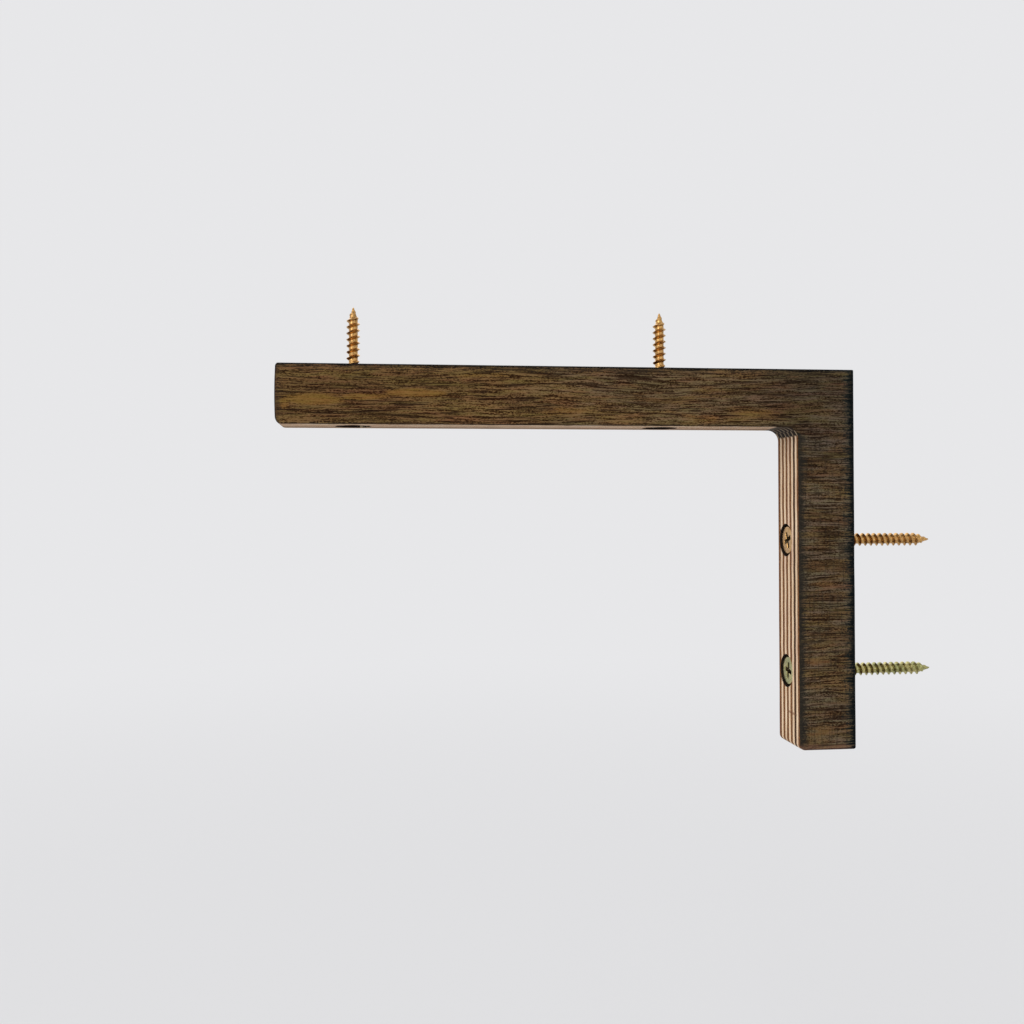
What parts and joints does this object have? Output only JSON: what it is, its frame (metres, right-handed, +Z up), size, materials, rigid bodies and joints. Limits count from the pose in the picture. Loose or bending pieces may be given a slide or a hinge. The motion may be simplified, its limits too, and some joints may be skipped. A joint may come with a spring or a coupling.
{
  "type": "floating shelf bracket",
  "caption": "Slim L-shaped shelf bracket cut from dark-stained plywood, with countersunk wood screws through its leg into a wall and up through its arm into a shelf.",
  "frame": {"origin": "the bracket's outer corner, where the wall face and the shelf face meet, in the middle of the sheet's thickness", "axes": "+Y into the wall, +Z up into the shelf, X through the sheet; the arm points to -Y and the leg down to -Z"},
  "size_m": [0.015, 0.175, 0.1145],
  "materials": {
    "stained_plywood": "walnut-stained birch plywood, satin, with paler sanded ply edges on the arm's underside and the leg's front",
    "yellow_zinc": "yellow-passivated zinc on steel, satin"
  },
  "bodies": {
    "root": {"bracket": "stained_plywood", "wall_screw_upper": "yellow_zinc", "wall_screw_lower": "yellow_zinc", "shelf_screw_front": "yellow_zinc", "shelf_screw_rear": "yellow_zinc"}
  },
  "joints": []
}
